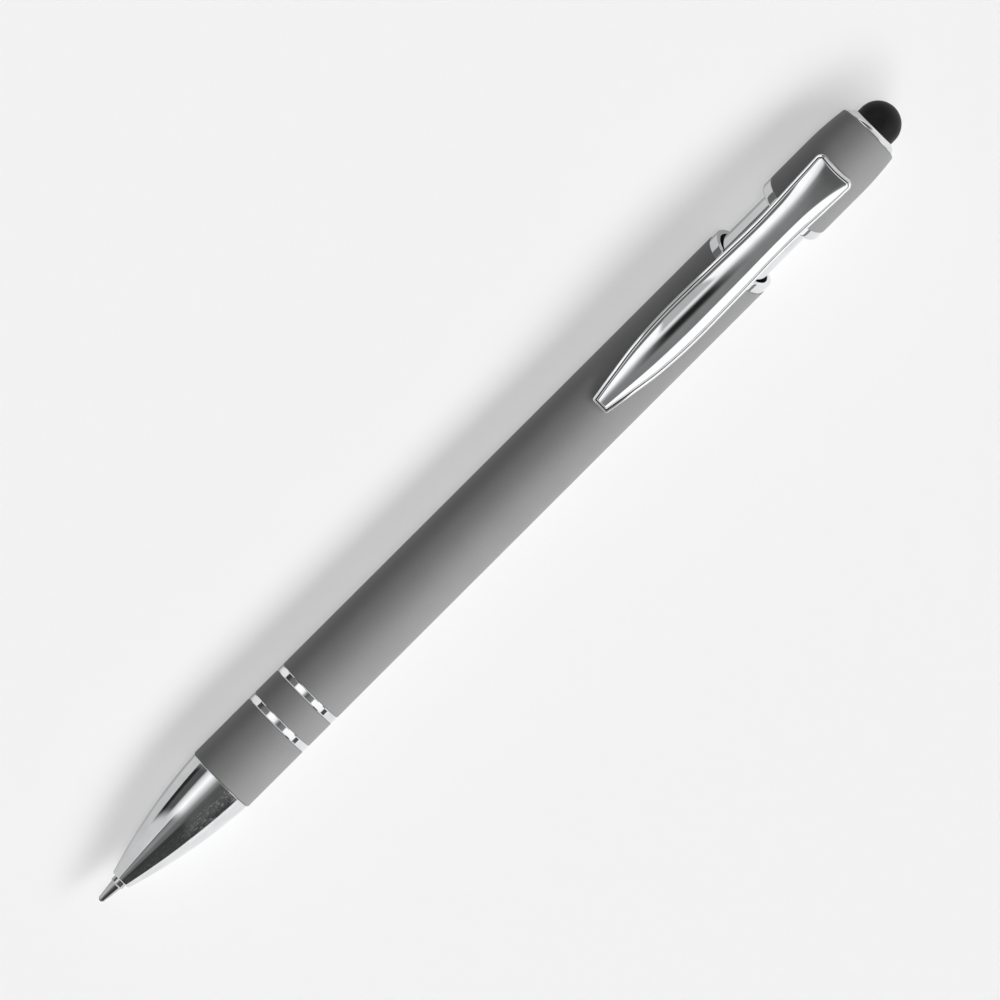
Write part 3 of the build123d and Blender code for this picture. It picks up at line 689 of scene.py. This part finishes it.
# Clip: cast in zinc and plated bright. A thin leaf carries a crowned pillow, both bowed along the pen, and
# a foot under the tail goes down into the cap.
clip_low, clip_high = (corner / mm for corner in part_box("clip"))
clip_tip, clip_tail = clip_low.x, clip_high.x
clip_length = clip_tail - clip_tip
clip_width = 5.98
leaf = 0.45
lip, tail_lip = 0.38, 0.6
tail_turn_down = 0.4
tail_hollow, tail_hollow_reach = 0.18, 2.0
tip_corner, least_tip_corner = 0.3, 0.06
tail_corner, least_tail_corner = 1.0, 0.2
tail_corner_shrink = 1.3
leaf_hollow_radius = 5.4
roundness, tail_flatness, flat_from = 1.42, 1.35, 0.8
tip_height, tail_height = barrel_radius + 0.3, cap_radius + 0.15
leaf_rise, crown_rise = 0.7, 1.2
tip_crown, tail_crown = 0.85, 1.1
shoulder, shoulder_steepness = 0.2, 0.8
crease_start, crease_end = lip - 0.03, lip - 0.11
pillow_clearance, shoulder_clearance, crease_clearance = 0.02, 0.015, 0.01
edge_rounding = 0.1
foot_height, foot_size, foot_rounding = 3.85, (foot_length, 2.4, 2.5), 0.12
rows, columns = 120, 24
tip_rows, tail_rows = 6, 10
# The plan from tip to tail, as shares of the clip's length and of its width.
plan_shares = [(0.0, 0.42), (0.09, 0.625), (0.2, 0.845), (0.33, 0.95), (0.52, 0.918), (0.72, 0.855),
               (0.88, 0.935), (1.0, 1.0)]


def half_width(share):
    """Half the clip's width at a share of its length, on a smooth line through the plan's points."""
    for index in range(len(plan_shares) - 1):
        (a, wa), (b, wb) = plan_shares[index], plan_shares[index + 1]
        if share <= b:
            break
    before = plan_shares[max(index - 1, 0)]
    after = plan_shares[min(index + 2, len(plan_shares) - 1)]
    lead = (wb - before[1]) / (b - before[0]) * (b - a)
    trail = (after[1] - wa) / (after[0] - a) * (b - a)
    t = (share - a) / (b - a)
    width = (wa * (1 + 2 * t) + lead * t) * (1 - t) ** 2 + (wb * (3 - 2 * t) - trail * (1 - t)) * t * t
    return width * clip_width / 2


def arch(rise, start, end):
    """Middle and radius of the arc along the clip that joins two heights and stands off by a rise."""
    chord = math.hypot(clip_length, end - start)
    radius = (chord * chord / 4 + rise * rise) / (2 * rise)
    lean = (radius - rise) / chord
    return (clip_tip + clip_tail) / 2 + (end - start) * lean, (start + end) / 2 - clip_length * lean, radius


underside = arch(leaf_rise, tip_height, tail_height)
crown = arch(crown_rise, tip_height + tip_crown, tail_height + tail_crown)


def under_level(along, across, growth=0):
    """Height of the leaf's hollow underside over the pen's axis, or of a skin grown from it."""
    middle, height, radius = underside
    drop = leaf_hollow_radius - math.sqrt((leaf_hollow_radius + growth) ** 2 - across * across)
    return height + math.sqrt((radius - drop) ** 2 - (along - middle) ** 2)


def leaf_level(along, across):
    """Height of the leaf's top, which turns down over the lip at the tail."""
    return under_level(along, across, leaf) - tail_turn_down * max(0, along - clip_tail + tail_lip)


def pillow_level(along, across):
    """Height of the pillow: as round at its narrow tip as in the middle, and flatter at the tail."""
    share = min(max((along - clip_tip) / clip_length, 0), 1)
    flatness = tail_flatness * max(0, (share - flat_from) / (1 - flat_from)) ** 2
    section = (half_width(share) - lip) * (roundness + flatness)
    middle, height, radius = crown
    top = height + math.sqrt(radius ** 2 - (along - middle) ** 2)
    round_off = section - math.sqrt(section ** 2 - across ** 2)
    return max(top - round_off, leaf_level(along, across) + pillow_clearance)


def plan_loop(inset, level):
    """Grid of points over the clip's plan, drawn in by an inset, at heights given by a level function."""
    front_round = max(tip_corner - inset, least_tip_corner)
    rear_round = max(tail_corner - tail_corner_shrink * inset, least_tail_corner)
    start, end = clip_tip + inset, clip_tail - tail_lip / lip * inset
    grid = []
    for row in range(rows + 1):
        if row <= tip_rows:
            along = start + front_round * (1 - math.cos(math.pi / 2 * row / tip_rows))
        elif row >= rows - tail_rows:
            along = end - rear_round * (1 - math.cos(math.pi / 2 * (rows - row) / tail_rows))
        else:
            inner = (row - tip_rows) / (rows - tip_rows - tail_rows)
            along = start + front_round + (end - start - front_round - rear_round) * inner
        width = half_width((along - start) / (end - start)) - inset
        if along < start + front_round:
            width -= front_round - math.sqrt(max(0, front_round ** 2 - (start + front_round - along) ** 2))
        if along > end - rear_round:
            width -= rear_round - math.sqrt(max(0, rear_round ** 2 - (along - end + rear_round) ** 2))
        closeness = max(0, 1 - (end - along) / tail_hollow_reach)
        line = []
        for column in range(columns + 1):
            across = width * math.sin(math.pi / 2 * (2 * column / columns - 1))
            curl = tail_hollow * (1 - (across / width) ** 2) * closeness * closeness
            line.append(Vector((along - curl, across, axis_height + level(along, across))) * mm)
        grid.append(line)
    return grid


def rim_of(grid):
    """The outer loop of a grid, in order round the clip."""
    loop = [grid[0][column] for column in range(columns)]
    loop += [grid[row][columns] for row in range(rows)]
    loop += [grid[rows][column] for column in range(columns, 0, -1)]
    loop += [grid[row][0] for row in range(rows, 0, -1)]
    return loop


shape = bmesh.new()
# The clip's finishes: polished plate, painted shade in the crease, and satin plate as cast.
polished, crease_shade, as_cast = range(3)


def sheet_of(grid, flip, finish):
    """Add a grid's faces to the clip in one of its finishes, and give back their rim."""
    made = [[shape.verts.new(point) for point in line] for line in grid]
    for line, following in zip(made, made[1:]):
        for column in range(columns):
            corners = [line[column], following[column], following[column + 1], line[column + 1]]
            shape.faces.new(corners[::-1] if flip else corners).material_index = finish
    return rim_of(made)


# Bands from the pillow down over its shoulder, the crease, the lip and its rounded edge to the underside.
bands = []
steps = 5
for step in range(1, steps + 1):
    angle = math.pi / 2 * step / steps
    fall = shoulder_steepness * shoulder * (1 - math.cos(angle))
    bands.append((lip + shoulder * (1 - math.sin(angle)), lambda along, across, fall=fall: max(
        pillow_level(along, across) - fall, leaf_level(along, across) + shoulder_clearance)))
crease = len(bands)
bands.append((crease_start, lambda along, across: leaf_level(along, across) + crease_clearance))
bands.append((crease_end, leaf_level))
steps = 4
angles = [math.pi / 2 * step / steps for step in range(steps + 1)]
for angle in angles:
    fall = edge_rounding * (1 - math.cos(angle))
    bands.append((edge_rounding * (1 - math.sin(angle)),
                  lambda along, across, fall=fall: leaf_level(along, across) - fall))
for angle in angles:
    lift = edge_rounding * (1 - math.sin(angle))
    bands.append((edge_rounding * (1 - math.cos(angle)),
                  lambda along, across, lift=lift: under_level(along, across) + lift))
loops = [sheet_of(plan_loop(lip + shoulder, pillow_level), True, polished)]
for inset, level in bands:
    loops.append([shape.verts.new(point) for point in rim_of(plan_loop(inset, level))])
loops.append(sheet_of(plan_loop(1.5 * edge_rounding, under_level), False, as_cast))
for band, (upper, lower) in enumerate(zip(loops, loops[1:])):
    for index in range(len(upper)):
        onward = (index + 1) % len(upper)
        face = shape.faces.new([upper[index], upper[onward], lower[onward], lower[index]])
        # The crease's two bands take the painted shade.
        face.material_index = crease_shade if crease <= band <= crease + 1 else polished
foot = block(shape, foot_height, foot_size)
bmesh.ops.bevel(shape, geom=list({edge for vert in foot for edge in vert.link_edges}),
                offset=foot_rounding * mm, segments=2, affect="EDGES", profile=0.5)
bmesh.ops.recalc_face_normals(shape, faces=shape.faces)
for face in shape.faces:
    face.smooth = True
pocket_clip = piece_of("pocket_clip", shape)

# Satin plate: the underside is plated as it was cast, without polishing, so it is grey and blurs what it
# mirrors. The skin of the casting is drawn at 0.3 mm, coarser than the real 0.1 mm, so that it shows.
satin_plate = clouded("satin_plate", size=0.3, detail=3.0, tints=("#cfd0d2", "#dddee0"),
                      values={"Metallic": 1.0}, roughness=(0.4, 0.55))
for finish in (bright_plate, painted_gap_shade, satin_plate):
    pocket_clip.data.materials.append(finish)
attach(pocket_clip, "clip")
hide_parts("clip")


# Studio: a pale sheet lit softly from below, a row of key lamps high on the pen's right, a low fill below
# them and a small lamp overhead. The tents, the screens and the room are seen only by the plate: they paint
# its reflections, with painted highlights, painted shade and a painted greyer floor.
floor_reach = 3
floor_level = -0.03 * mm


def oblong(x, y, z=0.0):
    """Corners of a level sheet round the origin, by half its length and half its width."""
    return [(-x, -y, z), (x, -y, z), (x, y, z), (-x, y, z)]


floor_mesh = bpy.data.meshes.new("pale_sheet")
floor_mesh.from_pydata(oblong(floor_reach, floor_reach, floor_level), [], [(0, 1, 2, 3)])
pale_sheet = bpy.data.objects.new("pale_sheet", floor_mesh)
bpy.context.scene.collection.objects.link(pale_sheet)
# Pale acrylic: an opal sheet with a matte face. It glows by itself, so shadows on it stay pale.
pale_acrylic, tree = blank("pale_acrylic")
shader = put(tree, "ShaderNodeBsdfPrincipled",
             values={"Base Color": colour("#bcbcbc"), "Roughness": 1.0, "Specular IOR Level": 0.0,
                     "Emission Color": colour("#ffffff"), "Emission Strength": 0.387})
put(tree, "ShaderNodeOutputMaterial", links={"Surface": shader.outputs["BSDF"]})
pale_sheet.data.materials.append(pale_acrylic)


def lamp(name, elevation, lean, softness, strength, shadow):
    """A far lamp on the pen's right, by its elevation and size in degrees, leaning along the pen."""
    light = bpy.data.lights.new(name, "SUN")
    rise = math.radians(elevation)
    way = Vector((lean, -math.cos(rise), math.sin(rise)))
    light.energy = strength * math.pi * way.length
    light.angle = math.radians(softness)
    light.use_shadow = shadow
    stand = bpy.data.objects.new(name, light)
    stand.rotation_euler = way.to_track_quat("Z", "Y").to_euler()
    stand.visible_glossy = False
    bpy.context.scene.collection.objects.link(stand)


key_strength = 0.89
key_leans = (-0.6, -0.2, 0.2, 0.6)
for number, lean in enumerate(key_leans):
    lamp(f"key_lamp_{number}", elevation=49, lean=lean, softness=20,
         strength=key_strength / len(key_leans), shadow=True)
lamp("low_fill", elevation=12, lean=0, softness=20, strength=0.52, shadow=False)
lamp("top_lamp", elevation=90, lean=0, softness=15, strength=0.225, shadow=True)


def hang(name, points, faces, middle=(0, 0, 0)):
    """Hang a sheet that only mirrors see, and give back the empty node tree of its material."""
    mesh = bpy.data.meshes.new(name)
    mesh.from_pydata(points, [], faces)
    sheet = bpy.data.objects.new(name, mesh)
    sheet.location = middle
    bpy.context.scene.collection.objects.link(sheet)
    sheet.visible_camera = sheet.visible_diffuse = sheet.visible_shadow = False
    cloth, tree = blank(name)
    mesh.materials.append(cloth)
    return tree


def light_up(tree, lit, cover):
    """Let a hung sheet glow where it covers, and leave it clear elsewhere."""
    clear = put(tree, "ShaderNodeBsdfTransparent")
    mix = put(tree, "ShaderNodeMixShader",
              links={0: cover.outputs["Value"], 1: clear.outputs["BSDF"], 2: lit.outputs["Emission"]})
    put(tree, "ShaderNodeOutputMaterial", links={"Surface": mix.outputs["Shader"]})


soft = {"interpolation_type": "SMOOTHSTEP"}


def tent(name, start, end, reach, fade, speck_glow, stops):
    """A half-round tent over part of the pen that paints the plate's reflections. Its stops give the glow by
    degrees from straight above, minus to the right, and its right wall has painted specks of extra glow."""
    ribs = [math.radians(angle) for angle in range(-90, 91, 3)]
    section = [(reach * math.sin(rib), axis_height * mm + reach * math.cos(rib)) for rib in ribs]
    section = [(-reach, 0), *section, (reach, 0)]
    points = [(x, y, z) for y, z in section for x in (start, end)]
    tree = hang(name, points, [(2 * n, 2 * n + 1, 2 * n + 3, 2 * n + 2) for n in range(len(section) - 1)])
    spot = put(tree, "ShaderNodeTexCoord").outputs["Object"]
    parts = put(tree, "ShaderNodeSeparateXYZ", links={"Vector": spot}).outputs
    height = put(tree, "ShaderNodeMath", {"operation": "SUBTRACT"}, {1: axis_height * mm}, {0: parts["Z"]})
    angle = put(tree, "ShaderNodeMath", {"operation": "ARCTAN2"},
                links={0: parts["Y"], 1: height.outputs["Value"]}).outputs["Value"]
    share = put(tree, "ShaderNodeMapRange", values={"From Min": -math.pi / 2, "From Max": math.pi / 2},
                links={"Value": angle})
    ramp = put(tree, "ShaderNodeValToRGB", links={"Fac": share.outputs["Result"]},
               stops=[((degrees + 90) / 180, (glow, glow, glow, 1)) for degrees, glow in stops])
    # Painted specks, 8 mm round the tent and 0.7 mm along it, show in the nose's reflection as small specks.
    speck_spacing = put(tree, "ShaderNodeVectorMath", {"operation": "DIVIDE"}, {1: (0.7 * mm, 8 * mm, 8 * mm)},
                  {0: spot})
    speck_noise = put(tree, "ShaderNodeTexNoise", values={"Scale": 1.0, "Detail": 3.0, "Roughness": 0.7},
               links={"Vector": speck_spacing.outputs["Vector"]})
    gleam = put(tree, "ShaderNodeMapRange", soft, {"From Min": 0.5, "From Max": 0.75, "To Max": speck_glow},
                {"Value": speck_noise.outputs["Fac"]})
    right = put(tree, "ShaderNodeMapRange", soft,
                {"From Min": math.radians(-12), "From Max": math.radians(-40)}, {"Value": angle})
    glow = put(tree, "ShaderNodeMath", {"operation": "MULTIPLY_ADD"},
               links={0: gleam.outputs["Result"], 1: right.outputs["Result"], 2: ramp.outputs["Color"]})
    opening = put(tree, "ShaderNodeMapRange", soft, {"From Min": start, "From Max": start + fade},
                  {"Value": parts["X"]})
    closing = put(tree, "ShaderNodeMapRange", soft, {"From Min": end, "From Max": end - fade},
                  {"Value": parts["X"]})
    cover = put(tree, "ShaderNodeMath", {"operation": "MULTIPLY"},
                links={0: opening.outputs["Result"], 1: closing.outputs["Result"]})
    light_up(tree, put(tree, "ShaderNodeEmission", links={"Color": glow.outputs["Value"]}), cover)


tent("front_tent", start=-0.18, end=-0.07, reach=0.082, fade=0.002, speck_glow=0.12, stops=[
    (-90, 0.95), (-84, 0.95), (-81, 0.05), (-20, 0.045), (-12, 0.05), (-6, 0.16), (6, 0.17), (16, 0.3),
    (28, 0.24), (31, 0.06), (34, 0.7), (38, 0.75), (44, 0.66), (90, 0.66)])
tent("nose_tent", start=-0.088, end=-0.055, reach=0.08, fade=0.008, speck_glow=0.35, stops=[
    (-90, 0.95), (-83, 0.95), (-80, 0.035), (-68, 0.05), (-50, 0.085), (-12, 0.1), (-6, 0.11), (0, 0.19),
    (7, 0.28), (20, 0.75), (33, 1.2), (46, 0.85), (52, 0.6), (57, 0.09), (76, 0.1), (82, 0.02), (90, 0.03)])
tent("ring_tent", start=-0.047, end=-0.025, reach=0.15, fade=0.002, speck_glow=0.0, stops=[
    (-90, 0.95), (-84, 0.95), (-82, 0.07), (-69, 0.08), (-66, 1.1), (-25, 1.2), (-21, 0.24), (-6, 0.18),
    (1, 0.1), (7, 0.35), (15, 1.1), (31, 1.35), (43, 1.1), (47, 0.2), (70, 0.16), (78, 0.05)])
tent("clip_tent", start=-0.022, end=0.2, reach=0.15, fade=0.002, speck_glow=0.0, stops=[
    (-90, 0.25), (-82, 0.25), (-79, 1.25), (-44, 1.25), (-41, 0.22), (-4, 0.24), (6, 0.29), (16, 0.44),
    (26, 0.75), (38, 1.15), (60, 1.2), (66, 0.15), (90, 0.15)])


def screen(name, middle, length, width, shade, fade):
    """A level sheet that only mirrors see, by its middle, its size and its shade, soft at the edges."""
    x, y = length / 2, width / 2
    tree = hang(name, oblong(x, y), [(0, 1, 2, 3)], middle)
    spot = put(tree, "ShaderNodeTexCoord").outputs["Object"]
    out = put(tree, "ShaderNodeVectorMath", {"operation": "ABSOLUTE"}, links={0: spot})
    parts = put(tree, "ShaderNodeSeparateXYZ", links={"Vector": out.outputs["Vector"]}).outputs
    along = put(tree, "ShaderNodeMapRange", soft, {"From Min": x, "From Max": x * (1 - fade)},
                {"Value": parts["X"]})
    across = put(tree, "ShaderNodeMapRange", soft, {"From Min": y, "From Max": y * (1 - fade)},
                 {"Value": parts["Y"]})
    cover = put(tree, "ShaderNodeMath", {"operation": "MULTIPLY"},
                links={0: along.outputs["Result"], 1: across.outputs["Result"]})
    light_up(tree, put(tree, "ShaderNodeEmission", values={"Color": (shade, shade, shade, 1)}), cover)


# Painted reflections: camera and arm, shade on clip tail and stylus ring, greyer floor, contact shade.
screen("camera_reflection", (0.031, 0.019, 0.12), length=0.054, width=0.092, shade=0.02, fade=0.75)
screen("camera_arm_reflection", (0.0333, 0.085, 0.06), length=0.019, width=0.11, shade=0.5, fade=0.25)
screen("tail_shade", (0.135, -0.02, 0.118), length=0.13, width=0.16, shade=0.11, fade=0.3)
screen("nose_floor_reflection", (-0.2, 0.075, 0.00002), length=0.31, width=0.146, shade=0.62, fade=0.02)
screen("clip_floor_reflection", (0.14, 0.075, 0.00002), length=0.33, width=0.146, shade=0.62, fade=0.02)
screen("contact_shade", (0, 0.003, 0.00004), length=0.16, width=0.014, shade=0.33, fade=0.5)
screen("end_shade", (0.45, 0.22, 0.085), length=0.56, width=0.46, shade=0.12, fade=0.25)

room = bpy.data.worlds.new("studio_room")
bpy.context.scene.world = room
room.cycles_visibility.diffuse = False
room.use_nodes = True
tree = room.node_tree
tree.nodes.clear()
way = put(tree, "ShaderNodeTexCoord")
parts = put(tree, "ShaderNodeSeparateXYZ", links={"Vector": way.outputs["Generated"]})
haze = put(tree, "ShaderNodeMapRange", values={"To Min": 0.85, "To Max": 0.5},
           links={"Value": parts.outputs["Z"]})
sky = put(tree, "ShaderNodeBackground", links={"Color": haze.outputs["Result"]})
put(tree, "ShaderNodeOutputWorld", links={"Surface": sky.outputs["Background"]})


# Camera: almost straight above the pen, tipped a little to its left, with a long lens. The pen lies from
# corner to corner of the picture.
bpy.context.scene.view_settings.view_transform = "Standard"
lens = bpy.data.cameras.new("camera")
lens.sensor_width = 36
lens.lens = 288
camera = bpy.data.objects.new("camera", lens)
distance = 1.0
aim = Vector((0.6, 0.12, axis_height)) * mm
tip, lie = math.radians(4), math.radians(44.95)
back = Vector((0, math.sin(tip), math.cos(tip)))
ahead, across = Vector((1, 0, 0)), Vector((0, math.cos(tip), -math.sin(tip)))
side = ahead * math.cos(lie) - across * math.sin(lie)
up = ahead * math.sin(lie) + across * math.cos(lie)
turn = Matrix((side, up, back)).transposed().to_4x4()
camera.matrix_world = Matrix.Translation(aim + back * distance) @ turn
bpy.context.scene.collection.objects.link(camera)
bpy.context.scene.camera = camera
